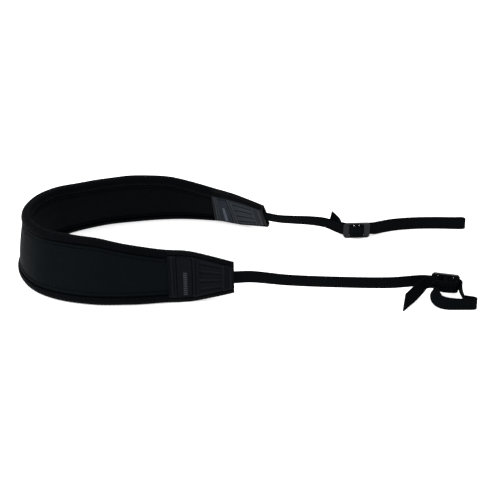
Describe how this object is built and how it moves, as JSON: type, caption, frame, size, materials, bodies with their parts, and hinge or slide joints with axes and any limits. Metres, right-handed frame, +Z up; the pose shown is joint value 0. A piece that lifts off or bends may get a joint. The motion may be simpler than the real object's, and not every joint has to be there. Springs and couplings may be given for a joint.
{
  "type": "camera neck strap",
  "caption": "Padded camera neck strap bent in a U, with bound edges, stitched end tabs, narrow webbing loops and plastic strap adjusters.",
  "frame": {"origin": "middle of the footprint, on the surface the strap stands on", "axes": "+X from the closed neck bend towards the open ends, +Y from the near leg to the far leg, +Z up"},
  "size_m": [0.3692, 0.1596, 0.0521],
  "materials": {
    "cushion": "matte smooth-faced foam",
    "binding": "matte knitted binding",
    "tab": "satin grained imitation leather",
    "label": "satin woven label",
    "webbing": "matte ribbed webbing",
    "slider": "satin moulded plastic"
  },
  "bodies": {
    "root": {"cushion": "cushion", "binding_upper": "binding", "binding_lower": "binding", "near_tab_piping_upper": "tab", "near_tab_piping_lower": "tab", "far_tab_piping_upper": "tab", "far_tab_piping_lower": "tab", "near_tab_outer": "tab", "near_tab_inner": "tab", "far_tab_outer": "tab", "far_tab_inner": "tab", "near_label": "label", "far_label": "label", "near_webbing": "webbing", "far_webbing": "webbing", "near_slider": "slider", "far_slider": "slider"}
  },
  "joints": []
}
